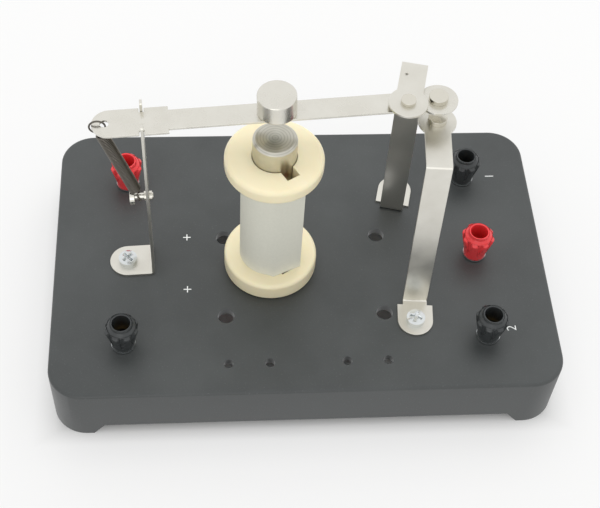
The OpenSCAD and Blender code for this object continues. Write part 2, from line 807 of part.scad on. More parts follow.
module bracket_tags() {
    color(brass_tone) for (i = [0 : 2])
        translate([bracket_screw_at[i][0], bracket_screw_at[i][1], under_z - flat_washer_t])
            rotate(bracket_tag_turn[i]) solder_tag(8, screw_dia + 2 * screw_clear);
}

module bracket_nuts() {
    color(zinc) for (p = bracket_screw_at)
        translate([p[0], p[1], under_z - flat_washer_t - tag_t])
            hex_nut(nut_af, screw_dia + 2 * thread_clear_nut, nut_t);
}

module terminal_studs() {
    low = deck_t + bush_t + tag_t + nut_t + 2;
    color(brass_tone) for (p = posts) translate([p[0], p[1], deck_z]) difference() {
        translate([0, 0, -low]) cylinder(d = stud_thread_dia, h = low + stud_top);
        translate([0, 0, stud_top - socket_depth]) cylinder(d = socket_dia, h = socket_depth + 1);
    }
}

module terminal_collars() {
    color(cap_black) for (p = posts) translate([p[0], p[1], deck_z]) difference() {
        union() {
            cylinder(d = collar_dia, h = collar_h);
            translate([0, 0, -deck_t]) cylinder(d = collar_spigot_dia, h = deck_t);
        }
        translate([0, 0, -deck_t - 1])
            cylinder(d = stud_thread_dia + 2 * thread_clear_nut, h = deck_t + collar_h + 2);
    }
}

module terminal_washers() {
    color(zinc) for (p = posts) translate([p[0], p[1], deck_z + collar_h + washer_t])
        ring(cap_low_dia + 0.4, stud_thread_dia + 2 * thread_clear_nut, washer_t);
}

module terminal_bushes() {
    color(fibre_tone) for (p = posts) translate([p[0], p[1], under_z])
        ring(collar_dia + 1, stud_thread_dia + 2 * thread_clear_nut, bush_t);
}

module terminal_tags() {
    color(brass_tone) for (i = [0 : 4])
        translate([posts[i][0], posts[i][1], under_z - bush_t])
            rotate(post_tag_turn[i]) solder_tag(10, stud_thread_dia + 2 * thread_clear_nut);
}

module terminal_nuts() {
    color(zinc) for (p = posts) translate([p[0], p[1], under_z - bush_t - tag_t])
        hex_nut(post_nut_af, stud_thread_dia + 2 * thread_clear_nut, nut_t);
}

// Threaded metal insert of a cap
module cap_insert(i) {
    color(brass_tone) translate([posts[i][0], posts[i][1], deck_z + cap_low_z]) difference() {
        cylinder(d = insert_dia, h = insert_top - cap_low_z);
        translate([0, 0, -1]) cylinder(d = stud_thread_dia + 2 * thread_clear, h = insert_top);
    }
}

// Section of the cap's round body, seen from the side
module cap_body_section() {
    low = cap_low_dia / 2;
    ring = cap_ring_dia / 2;
    body = cap_grip_dia / 2 - 0.95;
    polygon([
        [0, 0], [low, 0], [body, cap_h - 2.2], [ring, cap_h - 1], [ring, cap_h - 0.2],
        [ring - 0.2, cap_h], [0, cap_h]
    ]);
}

// Section that trims the grips: they widen upwards and end in a shoulder
module cap_grip_section() {
    low = cap_low_dia / 2 - 0.3;
    grip = cap_grip_dia / 2;
    polygon([
        [0, 0.3], [low, 0.3], [grip, cap_h - 3.3], [grip, cap_h - 2.9], [low - 0.2, cap_h - 1.15],
        [0, cap_h - 1.15]
    ]);
}

// Terminal cap: round body, grips that stand out towards the top, and a ring that crowns it
module terminal_cap(i, tone) {
    grip_r = 1.6;
    color(tone) translate([posts[i][0], posts[i][1], deck_z + cap_low_z]) difference() {
        union() {
            rotate_extrude() cap_body_section();
            for (k = [0 : grip_count - 1]) rotate((k + 0.5) * 360 / grip_count) intersection() {
                translate([cap_grip_dia / 2 - grip_r + 0.1, 0, 0.5]) cylinder(r = grip_r, h = cap_h - 1.5);
                rotate_extrude() cap_grip_section();
            }
        }
        translate([0, 0, -1]) cylinder(d = cap_bore_dia, h = cap_h + 2);
        translate([0, 0, -1])
            cylinder(d = insert_dia + 2 * thread_clear, h = insert_top - cap_low_z + thread_clear + 1);
    }
}

module cap_coil_red() {
    terminal_cap(0, cap_red);
}

module cap_coil_black() {
    terminal_cap(1, cap_black);
}

module cap_upper_black() {
    terminal_cap(2, cap_black);
}

module cap_common_red() {
    terminal_cap(3, cap_red);
}

module cap_lower_black() {
    terminal_cap(4, cap_black);
}

module insert_coil_red() {
    cap_insert(0);
}

module insert_coil_black() {
    cap_insert(1);
}

module insert_upper_black() {
    cap_insert(2);
}

module insert_common_red() {
    cap_insert(3);
}

module insert_lower_black() {
    cap_insert(4);
}

// Round wire through a list of points
module wire(points, d) {
    for (i = [0 : len(points) - 2]) {
        run = points[i + 1] - points[i];
        translate(points[i]) rotate([0, acos(run[2] / norm(run)), atan2(run[1], run[0])])
            cylinder(d = d, h = norm(run));
    }
    for (i = [1 : len(points) - 2]) {
        before = points[i] - points[i - 1];
        after = points[i + 1] - points[i];
        away = before / norm(before) - after / norm(after);
        translate(points[i]) rotate(atan2(away[1], away[0])) sphere(d = 1.12 * d);
    }
}

// Hole of the solder tag at a terminal or at a bracket screw
function post_tag_at(i) = concat(posts[i] + around(tag_len, post_tag_turn[i]), [under_z - bush_t]);
function bracket_tag_at(i) =
    concat(bracket_screw_at[i] + around(tag_len, bracket_tag_turn[i]), [under_z - flat_washer_t]);
function at_height(p, z) = [p[0], p[1], z];

module lead_armature() {
    from = bracket_tag_at(0);
    to = post_tag_at(3);
    color(cap_red) wire([
        from, at_height(from, lead_low_z), [from[0], lead_y, lead_low_z], [to[0], lead_y, lead_low_z],
        at_height(to, lead_low_z), to
    ], lead_dia);
}

module lead_lower_contact() {
    from = bracket_tag_at(1);
    to = post_tag_at(4);
    color(cap_black) wire([from, at_height(from, lead_low_z), at_height(to, lead_low_z), to], lead_dia);
}

module lead_upper_contact() {
    from = bracket_tag_at(2);
    to = post_tag_at(2);
    color(cap_black) wire([from, at_height(from, lead_low_z), at_height(to, lead_low_z), to], lead_dia);
}

// Enamelled end of the winding: down through the lower flange and the deck, then to its terminal
module coil_lead(side, by, i) {
    start = [coil_x, coil_y] + around(lead_hole_reach, notch_angle)
        + around(side * coil_lead_gap / 2, notch_angle + 90);
    to = post_tag_at(i);
    color(copper_tone) {
        wire([
            concat(start, [deck_z + flange_low_t]), concat(start, [lead_high_z]),
            concat(by, [lead_high_z]), at_height(to, lead_high_z)
        ], coil_lead_dia);
        translate(at_height(to, lead_high_z)) sphere(d = 1.2 * lead_dia);
        translate(at_height(to, lead_high_z)) cylinder(d = lead_dia, h = to[2] - lead_high_z);
    }
}

module lead_coil_start() {
    coil_lead(1, [coil_x - 16.9, coil_y - 8.8], 0);
}

module lead_coil_end() {
    coil_lead(-1, [coil_x - 16.9, coil_y - 11.3], 1);
}

base_shell();
bobbin();
coil_winding();
paper_sleeve();
iron_core();
core_screw();
core_washer();
fulcrum_bracket();
spring_stud();
return_spring();
armature_strip();
armature_disc();
disc_screw();
moving_contact();
lower_contact_bracket();
lower_contact();
upper_contact_bracket();
upper_contact();
bracket_screws();
bracket_washers();
bracket_tags();
bracket_nuts();
terminal_studs();
terminal_collars();
terminal_washers();
terminal_bushes();
terminal_tags();
terminal_nuts();
cap_coil_red();
cap_coil_black();
cap_upper_black();
cap_common_red();
cap_lower_black();
insert_coil_red();
insert_coil_black();
insert_upper_black();
insert_common_red();
insert_lower_black();
lead_coil_start();
lead_coil_end();
lead_armature();
lead_upper_contact();
lead_lower_contact();
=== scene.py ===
import json
from math import acos, atan2, cos, pi, radians, sin, tau

import bmesh
import bpy
from mathutils import Matrix, Vector


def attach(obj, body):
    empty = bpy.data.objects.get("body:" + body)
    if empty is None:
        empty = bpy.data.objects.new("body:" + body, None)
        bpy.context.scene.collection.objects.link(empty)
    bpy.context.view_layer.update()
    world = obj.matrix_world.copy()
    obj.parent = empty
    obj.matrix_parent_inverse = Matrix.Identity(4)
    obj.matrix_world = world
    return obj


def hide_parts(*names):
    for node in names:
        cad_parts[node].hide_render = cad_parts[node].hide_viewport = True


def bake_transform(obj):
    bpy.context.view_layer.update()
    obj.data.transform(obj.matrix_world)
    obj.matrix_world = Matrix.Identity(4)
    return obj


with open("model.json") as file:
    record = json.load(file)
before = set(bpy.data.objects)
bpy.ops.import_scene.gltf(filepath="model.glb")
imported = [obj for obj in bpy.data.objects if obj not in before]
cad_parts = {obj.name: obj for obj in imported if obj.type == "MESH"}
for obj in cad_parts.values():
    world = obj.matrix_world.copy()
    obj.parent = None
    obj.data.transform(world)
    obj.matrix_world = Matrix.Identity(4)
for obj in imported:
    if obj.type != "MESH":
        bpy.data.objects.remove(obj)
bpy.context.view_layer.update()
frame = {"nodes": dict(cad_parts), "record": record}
MM = 0.001

# Base. One injection moulding in charcoal ABS with a fine spark-eroded grain: a deck,
# side walls that stand on four corner feet, and stiffening ribs below.

MERGE_MM = 0.001
FLAT_WITHIN = radians(0.5)
# Sockets of a Mix node that mixes colours.
FACTOR, FROM, TO, MIXED = 0, 6, 7, 2

body_of = {
    node: body for body, nodes in frame["record"]["behaviour"]["bodies"].items() for node in nodes
}


def linear(code):
    """The linear colour of an sRGB hex code."""
    parts = [int(code[i : i + 2], 16) / 255 for i in (1, 3, 5)]
    plain = [p / 12.92 if p <= 0.04045 else ((p + 0.055) / 1.055) ** 2.4 for p in parts]
    return (*plain, 1.0)


def add(tree, kind, links=None, **settings):
    """Adds a node. Settings go on the node itself.

    Links are its inputs, each a value or the socket that feeds it.
    """
    node = tree.nodes.new("ShaderNode" + kind)
    for name, value in settings.items():
        setattr(node, name, value)
    for name, value in (links or {}).items():
        if isinstance(value, bpy.types.NodeSocket):
            tree.links.new(value, node.inputs[name])
        else:
            node.inputs[name].default_value = value
    return node


def new_material(name):
    """An empty material: its node tree, Principled shader and Object coordinates."""
    material = bpy.data.materials.new(name)
    material.use_nodes = True
    tree = material.node_tree
    coords = tree.nodes.new("ShaderNodeTexCoord").outputs["Object"]
    return material, tree, tree.nodes["Principled BSDF"], coords


def piece_from(shape, name, material):
    """A new object from a bmesh, in the scene."""
    mesh = bpy.data.meshes.new(name)
    shape.to_mesh(mesh)
    shape.free()
    mesh.materials.append(material)
    piece = bpy.data.objects.new(name, mesh)
    bpy.context.scene.collection.objects.link(piece)
    return piece


def eased(node_name, material, ease_mm=0, sharp_deg=32):
    """Stands for a CAD node: its shape with smooth faces, and its sharp edges eased."""
    shape = bmesh.new()
    shape.from_mesh(frame["nodes"][node_name].data)
    bmesh.ops.remove_doubles(shape, verts=shape.verts, dist=MERGE_MM * MM)
    bmesh.ops.dissolve_limit(shape, angle_limit=FLAT_WITHIN, verts=shape.verts, edges=shape.edges)
    for face in shape.faces:
        face.smooth = True
    piece = piece_from(shape, node_name + "_finished", material)
    piece.data.set_sharp_from_angle(angle=radians(sharp_deg))
    if ease_mm:
        bevel = piece.modifiers.new("eased_edges", "BEVEL")
        bevel.width = ease_mm * MM
        bevel.segments = 2
        bevel.limit_method = "ANGLE"
        bevel.angle_limit = radians(sharp_deg)
        bevel.use_clamp_overlap = False
        bevel.loop_slide = False
        bevel.harden_normals = True
    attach(piece, body_of[node_name])
    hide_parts(node_name)


BASE_ABS = "#393c3c"
BASE_ABS_WORN = "#434646"
# The colour of the painted highlight specks on the grain.
BASE_SPECK_HIGHLIGHT = "#676a69"
WORN_PATCH_MM = 34
# The real grain is finer. It is drawn as coarse as it needs to show.
GRAIN_MM = 0.7

abs_charcoal, tree, shader, coords = new_material("abs_charcoal_grained")
# Pale specks painted on the grain's high spots stand in for its tiny highlights, so it looks
# finely specked.
cloud = add(
    tree, "TexNoise",
    {"Vector": coords, "Scale": 1 / (WORN_PATCH_MM * MM), "Detail": 4.0, "Roughness": 0.6},
)
tone = add(tree, "MapRange", {"Value": cloud.outputs["Fac"], "From Min": 0.35, "From Max": 0.68})
colour = add(
    tree, "Mix", {FACTOR: tone.outputs[0], FROM: linear(BASE_ABS), TO: linear(BASE_ABS_WORN)},
    data_type="RGBA",
)
grain = add(
    tree, "TexNoise",
    {"Vector": coords, "Scale": 1 / (GRAIN_MM * MM), "Detail": 3.0, "Roughness": 0.7},
)
# Painted highlights: pale specks on the grain's high spots.
painted_glint = add(
    tree, "MapRange",
    {"Value": grain.outputs["Fac"], "From Min": 0.6, "From Max": 0.74, "To Max": 0.5},
)
glint_specked = add(
    tree, "Mix", {FACTOR: painted_glint.outputs[0], FROM: colour.outputs[MIXED], TO: linear(BASE_SPECK_HIGHLIGHT)},
    data_type="RGBA",
)
grain_bump = add(
    tree, "Bump", {"Height": grain.outputs["Fac"], "Strength": 0.4, "Distance": 0.05 * MM}
)
rough = add(
    tree, "MapRange",
    {
        "Value": cloud.outputs["Fac"], "From Min": 0.3, "From Max": 0.7,
        "To Min": 0.38, "To Max": 0.5,
    },
)
tree.links.new(glint_specked.outputs[MIXED], shader.inputs["Base Color"])
tree.links.new(rough.outputs[0], shader.inputs["Roughness"])
tree.links.new(grain_bump.outputs["Normal"], shader.inputs["Normal"])
shader.inputs["IOR"].default_value = 1.54
eased("base_shell", abs_charcoal)

# Print on the deck. White ink, screen-printed: plus marks beside the fulcrum bracket, and plain
# numbers beside two terminals, which read from the right.

INK_WHITE = "#eef0ee"
INK_THIN = "#8f9391"
INK_GRAIN_MM = 0.35
DECK_Z = 28.0
INK_HALF_THICK = 0.008
# The ink's middle is this far above the deck, so that it lies just clear of it.
INK_LIFT = 1.2 * INK_HALF_THICK
# The font's strokes are thinned by this much on each side.
STROKE_TRIM = 0.06
PLUS_HIGH = 6.8
NUMBER_HIGH = 5.5
READS_FROM_FRONT = 0
READS_FROM_RIGHT = 90

ink, tree, shader, coords = new_material("ink_white_printed")
# The ink lies thin on the grain, so it lets a little of the base through.
patches = add(
    tree, "TexNoise", {"Vector": coords, "Scale": 1 / (INK_GRAIN_MM * MM), "Detail": 2.0}
)
thin = add(
    tree, "MapRange",
    {"Value": patches.outputs["Fac"], "From Min": 0.5, "From Max": 0.75, "To Max": 0.35},
)
colour = add(
    tree, "Mix", {FACTOR: thin.outputs[0], FROM: linear(INK_WHITE), TO: linear(INK_THIN)},
    data_type="RGBA",
)
tree.links.new(colour.outputs[MIXED], shader.inputs["Base Color"])
shader.inputs["Roughness"].default_value = 0.55


def mesh_of(curve):
    """The shape of a curve object as a bmesh. The curve itself is removed."""
    bpy.context.scene.collection.objects.link(curve)
    depsgraph = bpy.context.evaluated_depsgraph_get()
    mesh = bpy.data.meshes.new_from_object(curve.evaluated_get(depsgraph))
    bpy.data.objects.remove(curve)
    shape = bmesh.new()
    shape.from_mesh(mesh)
    bpy.data.meshes.remove(mesh)
    return shape


def printed(name, words, high_mm, x_mm, y_mm, turn_deg):
    """A printed sign, its middle at a place on the deck."""
    sign = bpy.data.curves.new(name, "FONT")
    sign.body = words
    sign.size = high_mm * MM
    sign.extrude = INK_HALF_THICK * MM
    sign.offset = -STROKE_TRIM * MM
    sign.align_x = "CENTER"
    sign.align_y = "CENTER"
    shape = mesh_of(bpy.data.objects.new(name + "_curve", sign))
    bmesh.ops.remove_doubles(shape, verts=shape.verts, dist=0.5 * MERGE_MM * MM)
    place = Matrix.Translation(Vector((x_mm, y_mm, DECK_Z + INK_LIFT)) * MM)
    turn = Matrix.Rotation(radians(turn_deg), 4, "Z")
    bmesh.ops.transform(shape, matrix=place @ turn, verts=shape.verts)
    piece = piece_from(shape, name, ink)
    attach(piece, "base")


printed("print_plus_rear", "+", PLUS_HIGH, -46.7, 8.8, READS_FROM_FRONT)
printed("print_plus_front", "+", PLUS_HIGH, -46.6, -17.1, READS_FROM_FRONT)
printed("print_number_1", "1", NUMBER_HIGH, 84.0, 39.2, READS_FROM_RIGHT)
printed("print_number_2", "2", NUMBER_HIGH, 81.6, -38.7, READS_FROM_RIGHT)

# Bobbin. One cream nylon moulding, a barrel between a thick lower and a thinner upper flange,
# which stands on the deck round the core. Nylon moulds smooth and lets light a little way in,
# so its edges look soft.

BOBBIN_NYLON = "#f8eecd"
BOBBIN_NYLON_DEEP = "#f1e5c0"
NYLON_CLOUD_MM = 9
NYLON_FLOW_MM = 1.6

nylon, tree, shader, coords = new_material("nylon_cream_moulded")
cloud = add(
    tree, "TexNoise", {"Vector": coords, "Scale": 1 / (NYLON_CLOUD_MM * MM), "Detail": 3.0}
)
colour = add(
    tree, "Mix",
    {FACTOR: cloud.outputs["Fac"], FROM: linear(BOBBIN_NYLON), TO: linear(BOBBIN_NYLON_DEEP)},
    data_type="RGBA",
)
flow = add(
    tree, "TexNoise", {"Vector": coords, "Scale": 1 / (NYLON_FLOW_MM * MM), "Detail": 2.0}
)
flow_bump = add(
    tree, "Bump", {"Height": flow.outputs["Fac"], "Strength": 0.2, "Distance": 0.02 * MM}
)
tree.links.new(colour.outputs[MIXED], shader.inputs["Base Color"])
tree.links.new(flow_bump.outputs["Normal"], shader.inputs["Normal"])
shader.inputs["Roughness"].default_value = 0.34
shader.inputs["IOR"].default_value = 1.53
shader.inputs["Subsurface Weight"].default_value = 0.25
shader.inputs["Subsurface Radius"].default_value = (1.0, 0.7, 0.4)
shader.inputs["Subsurface Scale"].default_value = 1.5 * MM
eased("bobbin", nylon, ease_mm=0.25)

# Winding. Enamelled copper wire in close turns; the enamel gives it a clear red-brown gloss.
# Its two ends go down through the deck to their terminals.

WIRE_ENAMEL = "#a8552a"
WIRE_PITCH_MM = 0.32
# A wave texture of scale 1 runs through this many radians in one metre.
WAVE_RADIANS = 20

enamelled_copper, tree, shader, coords = new_material("copper_wire_enamelled")
turns = add(
    tree, "TexWave",
    {
        "Vector": coords, "Scale": tau / (WIRE_PITCH_MM * MM) / WAVE_RADIANS,
        "Distortion": 0.4, "Detail": 1.0,
    },
    bands_direction="Z",
)
turn_bump = add(
    tree, "Bump", {"Height": turns.outputs["Fac"], "Strength": 0.8, "Distance": 0.12 * MM}
)
shader.inputs["Base Color"].default_value = linear(WIRE_ENAMEL)
shader.inputs["Metallic"].default_value = 1.0
shader.inputs["Roughness"].default_value = 0.3
shader.inputs["Coat Weight"].default_value = 0.6
tree.links.new(turn_bump.outputs["Normal"], shader.inputs["Normal"])
for name in ("coil_winding", "lead_coil_start", "lead_coil_end"):
    eased(name, enamelled_copper)

# Paper sleeve. Uncoated white paper, rolled once round the winding; its end stands off as a
# flat face. The paper is matt, with a faint fibre.

# The paper's warm tint is partly painted: it stands in for light reflected from the cream bobbin.
SLEEVE_WHITE_BOBBIN_TINTED = "#e2e1d4"
SLEEVE_FIBRE_BOBBIN_TINTED = "#d5d5c8"
FIBRE_MM = 1.1

paper, tree, shader, coords = new_material("paper_uncoated_white")
pulp = add(
    tree, "TexNoise",
    {"Vector": coords, "Scale": 1 / (FIBRE_MM * MM), "Detail": 5.0, "Roughness": 0.7},
)
colour = add(
    tree, "Mix",
    {FACTOR: pulp.outputs["Fac"], FROM: linear(SLEEVE_WHITE_BOBBIN_TINTED), TO: linear(SLEEVE_FIBRE_BOBBIN_TINTED)},
    data_type="RGBA",
)
fibre_bump = add(
    tree, "Bump", {"Height": pulp.outputs["Fac"], "Strength": 0.3, "Distance": 0.03 * MM}
)
tree.links.new(colour.outputs[MIXED], shader.inputs["Base Color"])
tree.links.new(fibre_bump.outputs["Normal"], shader.inputs["Normal"])
shader.inputs["Roughness"].default_value = 0.85
eased("paper_sleeve", paper, sharp_deg=75)

# Iron core. Turned from soft iron and thinly plated: its pole face keeps the lathe's rings,
# with painted shade in their grooves, and its chamfer is a bright line.

CORE_IRON = "#d6d4ca"
CORE_IRON_DULL = "#bebbaf"
CORE_CLOUD_MM = 4
CORE_AXIS = (-13.1, -4.2)
# Painted shade for the grooves between the lathe's rings.
RING_GROOVE_SHADE = "#8f8c80"
# A lathe leaves finer rings. They are drawn as coarse as they need to show.
RING_PITCH_MM = 1.1

iron, tree, shader, coords = new_material("soft_iron_turned")
centred = add(
    tree, "Mapping", {"Vector": coords, "Location": (-CORE_AXIS[0] * MM, -CORE_AXIS[1] * MM, 0)}
)
rings = add(
    tree, "TexWave",
    {
        "Vector": centred.outputs[0], "Scale": tau / (RING_PITCH_MM * MM) / WAVE_RADIANS,
        "Distortion": 1.2, "Detail": 3.0,
    },
    wave_type="RINGS", rings_direction="Z",
)
cloud = add(
    tree, "TexNoise", {"Vector": coords, "Scale": 1 / (CORE_CLOUD_MM * MM), "Detail": 4.0}
)
colour = add(
    tree, "Mix",
    {FACTOR: cloud.outputs["Fac"], FROM: linear(CORE_IRON), TO: linear(CORE_IRON_DULL)},
    data_type="RGBA",
)
# The grooves are darkened with painted shade.
groove_shade = add(
    tree, "MapRange",
    {"Value": rings.outputs["Fac"], "From Min": 0.3, "From Max": 0.0, "To Max": 0.4},
)
groove_shaded = add(
    tree, "Mix", {FACTOR: groove_shade.outputs[0], FROM: colour.outputs[MIXED], TO: linear(RING_GROOVE_SHADE)},
    data_type="RGBA",
)
ring_bump = add(
    tree, "Bump", {"Height": rings.outputs["Fac"], "Strength": 0.6, "Distance": 0.02 * MM}
)
tree.links.new(groove_shaded.outputs[MIXED], shader.inputs["Base Color"])
tree.links.new(ring_bump.outputs["Normal"], shader.inputs["Normal"])
shader.inputs["Metallic"].default_value = 1.0
shader.inputs["Roughness"].default_value = 0.3
eased("iron_core", iron, ease_mm=0.1)

# Fulcrum bracket with its riveted spring stud, and the two contact brackets. Cold-rolled strip,
# blanked, bent and barrel-plated with nickel: a soft cloudy gloss, faint streaks along the
# rolling, and bright cut edges.

NICKEL = "#e6e4dc"
NICKEL_DULL = "#d6d3c9"
CLOUD_MM = 8
# Rolling leaves finer streaks. They are drawn as coarse as they need to show.
STREAK_MM = 0.5
# A streak is 20 times as long as it is wide.
STREAK_SHARE = 0.05


def plated(name, bright, dull, rough_from, rough_to, streaks_along, deep_mm=0.005):
    """Plated or drawn metal with cloudy gloss, and streaks along one axis."""
    material, tree, shader, coords = new_material(name)
    stretch = [STREAK_SHARE if axis == streaks_along else 1.0 for axis in "XYZ"]
    stretched = add(tree, "Mapping", {"Vector": coords, "Scale": stretch})
    streaks = add(
        tree, "TexNoise",
        {
            "Vector": stretched.outputs[0], "Scale": 1 / (STREAK_MM * MM),
            "Detail": 4.0, "Roughness": 0.6,
        },
    )
    cloud = add(
        tree, "TexNoise",
        {"Vector": coords, "Scale": 1 / (CLOUD_MM * MM), "Detail": 5.0, "Roughness": 0.55},
    )
    colour = add(
        tree, "Mix", {FACTOR: cloud.outputs["Fac"], FROM: linear(bright), TO: linear(dull)},
        data_type="RGBA",
    )
    rough = add(
        tree, "MapRange",
        {
            "Value": cloud.outputs["Fac"], "From Min": 0.3, "From Max": 0.7,
            "To Min": rough_from, "To Max": rough_to,
        },
    )
    bump = add(
        tree, "Bump", {"Height": streaks.outputs["Fac"], "Strength": 0.3, "Distance": deep_mm * MM}
    )
    tree.links.new(colour.outputs[MIXED], shader.inputs["Base Color"])
    tree.links.new(rough.outputs[0], shader.inputs["Roughness"])
    tree.links.new(bump.outputs["Normal"], shader.inputs["Normal"])
    shader.inputs["Metallic"].default_value = 1.0
    return material


nickel_upright = plated(
    "nickel_plate_upright", NICKEL, NICKEL_DULL,
    rough_from=0.28, rough_to=0.38, streaks_along="Z", deep_mm=0.007,
)
nickel_level = plated(
    "nickel_plate_level", NICKEL, NICKEL_DULL,
    rough_from=0.2, rough_to=0.32, streaks_along="X", deep_mm=0.008,
)
for name in ("fulcrum_bracket", "lower_contact_bracket", "upper_contact_bracket"):
    eased(name, nickel_upright, ease_mm=0.12)
eased("spring_stud", nickel_level, ease_mm=0.12)

# Return spring. Dark drawn spring-steel wire in close turns, with an eye round the stud below
# and a hook through the armature's tail above. It is modelled upright, then leant between the two.

SPRING_WIRE = "#747069"
SPRING_WIRE_DARK = "#57534d"
WIRE_MM = 0.7
TURNS_R = 2.05
TURN_PITCH_MM = 0.74
EYE_R = 2.1
EYE_OPENS = radians(70)
HOOK_R = 2.9
# Where the fulcrum bracket stands, its turn, and how far along it the eye hangs on the stud.
FULCRUM_X, FULCRUM_Y = -70.4, -2.6
FULCRUM_TURN = radians(3)
EYE_REACH = 6.7
EYE_Z = 70.42
HOOK_AT = (-76.07, -2.82, 109.97)
# A point in the neck between the eye and the turns. Then where along the spring the turns
# begin, and how far short of the hook they end.
NECK = (0, -0.4, 2.9)
TURNS_FROM = 4.1
TURNS_SHORT_OF_HOOK = 1.1
# The turns start and end narrow, at this share of their radius, which then grows by one radius
# in this many points until it is full.
NARROW_SHARE = 0.35
POINTS_A_RADIUS = 5
POINTS_A_TURN = 12
# A curve of twelve points to a turn runs inside them by this much.
SHRINK = (2 + cos(tau / POINTS_A_TURN)) / 3

spring_steel = plated(
    "spring_steel_drawn", SPRING_WIRE, SPRING_WIRE_DARK,
    rough_from=0.25, rough_to=0.38, streaks_along="Z",
)
spring_low = Vector((
    FULCRUM_X + EYE_REACH * cos(FULCRUM_TURN), FULCRUM_Y + EYE_REACH * sin(FULCRUM_TURN), EYE_Z
))
spring_top = Vector(HOOK_AT)
spring_run = spring_top - spring_low
spring_len = spring_run.length
route = [
    (0, EYE_R / SHRINK * cos(a), EYE_R / SHRINK * sin(a))
    for a in [EYE_OPENS - i * tau / POINTS_A_TURN for i in range(POINTS_A_TURN)]
]
route.append(NECK)
turns_to = spring_len - HOOK_R - TURNS_SHORT_OF_HOOK
steps = round((turns_to - TURNS_FROM) / TURN_PITCH_MM) * POINTS_A_TURN
for i in range(steps + 1):
    a = -pi / 2 + i * tau / POINTS_A_TURN
    from_end = min(i, steps - i)
    r = TURNS_R / SHRINK * min(1.0, NARROW_SHARE + from_end / POINTS_A_RADIUS)
    route.append((r * cos(a), r * sin(a), TURNS_FROM + (turns_to - TURNS_FROM) * i / steps))
route += [
    (HOOK_R / SHRINK * sin(a), 0, spring_len - HOOK_R / SHRINK * cos(a))
    for a in [i * tau / POINTS_A_TURN for i in range(POINTS_A_TURN)]
]
wire = bpy.data.curves.new("spring_route", "CURVE")
wire.dimensions = "3D"
wire.bevel_depth = WIRE_MM / 2 * MM
wire.bevel_resolution = 2
wire.use_fill_caps = True
spline = wire.splines.new("NURBS")
spline.points.add(len(route) - 1)
heading = Matrix.Rotation(atan2(spring_run.y, spring_run.x), 4, "Z")
lean = heading @ Matrix.Rotation(acos(spring_run.z / spring_len), 4, "Y")
for point, at in zip(spline.points, route):
    point.co = (*((spring_low + lean @ Vector(at)) * MM), 1.0)
spline.order_u = 4
spline.resolution_u = 2
spline.use_endpoint_u = True
shape = mesh_of(bpy.data.objects.new("spring_curve", wire))
bmesh.ops.recalc_face_normals(shape, faces=shape.faces)
for face in shape.faces:
    face.smooth = True
spring = piece_from(shape, "return_spring_wound", spring_steel)
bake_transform(spring)
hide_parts("return_spring")

# Armature. A blanked strip in nickel plate that rocks on the knife edge, with a turned disc
# that faces the core, held by a screw from below.

eased("armature_strip", nickel_level, ease_mm=0.12)
eased("armature_disc", nickel_level, ease_mm=0.25)

# Contacts. Three turned buttons, riveted through the strip and the two brackets, their faces
# lightly crowned and polished, so they mirror more sharply than the plate round them.

CONTACT = "#dedacd"
contact_metal = plated(
    "contact_nickel_polished", CONTACT, NICKEL_DULL,
    rough_from=0.14, rough_to=0.24, streaks_along="X",
)
for name in ("moving_contact", "lower_contact", "upper_contact"):
    eased(name, contact_metal, ease_mm=0.15)

# Screws, washers and nuts. Steel in bright zinc plate, which is glossy and a little bluish, with
# crisp cross recesses. They clamp the core, the brackets, the disc and the terminals.

ZINC = "#e4e8e8"
ZINC_DULL = "#d0d4d5"
zinc = plated(
    "zinc_plate_bright", ZINC, ZINC_DULL,
    rough_from=0.14, rough_to=0.24, streaks_along="X",
)
for name in (
    "core_screw", "core_washer", "disc_screw", "bracket_screws", "bracket_washers", "bracket_nuts",
    "terminal_washers", "terminal_nuts",
):
    eased(name, zinc)

# Terminals. Turned brass studs, and dull brass inserts painted dark with the shade of the deep
# cap bores they sit in; stamped brass tags, fibre bushes, and collars and screw caps moulded
# in polystyrene, the caps with eight round grips.

BRASS = "#d8b56c"
BRASS_DULL = "#b98f4c"
# The inserts' dark colour is painted shade for the cap bores they sit in.
BRASS_BORE_SHADE = "#45433d"
BRASS_BORE_SHADE_DEEP = "#363530"
# Bare brass is yellow with a warm gloss. The inserts' brass is nearly matt, and its dark colour
# is painted shade for the deep cap bores.
brass = plated(
    "brass_turned", BRASS, BRASS_DULL,
    rough_from=0.18, rough_to=0.32, streaks_along="Z",
)
eased("terminal_studs", brass, ease_mm=0.1)
brass_bore_shaded = plated(
    "brass_dull_bore_shaded", BRASS_BORE_SHADE, BRASS_BORE_SHADE_DEEP,
    rough_from=0.45, rough_to=0.6, streaks_along="Z",
)
for name in (
    "insert_coil_red", "insert_coil_black", "insert_upper_black", "insert_common_red",
    "insert_lower_black",
):
    eased(name, brass_bore_shaded)
for name in ("terminal_tags", "bracket_tags"):
    eased(name, brass)

PLASTIC_CLOUD_MM = 3


def plain_plastic(name, code, shade, roughness, grain_mm):
    """Moulded plastic with a faint flow pattern."""
    material, tree, shader, coords = new_material(name)
    cloud = add(
        tree, "TexNoise", {"Vector": coords, "Scale": 1 / (PLASTIC_CLOUD_MM * MM), "Detail": 3.0}
    )
    colour = add(
        tree, "Mix", {FACTOR: cloud.outputs["Fac"], FROM: linear(code), TO: linear(shade)},
        data_type="RGBA",
    )
    fine = add(tree, "TexNoise", {"Vector": coords, "Scale": 1 / (grain_mm * MM), "Detail": 2.0})
    bump = add(
        tree, "Bump", {"Height": fine.outputs["Fac"], "Strength": 0.15, "Distance": 0.01 * MM}
    )
    tree.links.new(colour.outputs[MIXED], shader.inputs["Base Color"])
    tree.links.new(bump.outputs["Normal"], shader.inputs["Normal"])
    shader.inputs["Roughness"].default_value = roughness
    shader.inputs["IOR"].default_value = 1.5
    return material


CAP_RED = "#ea4246"
CAP_RED_DEEP = "#e1363a"
CAP_BLACK = "#2f3233"
CAP_BLACK_PALE = "#353839"
FIBRE_BROWN = "#5a4636"
FIBRE_BROWN_DEEP = "#4a392b"
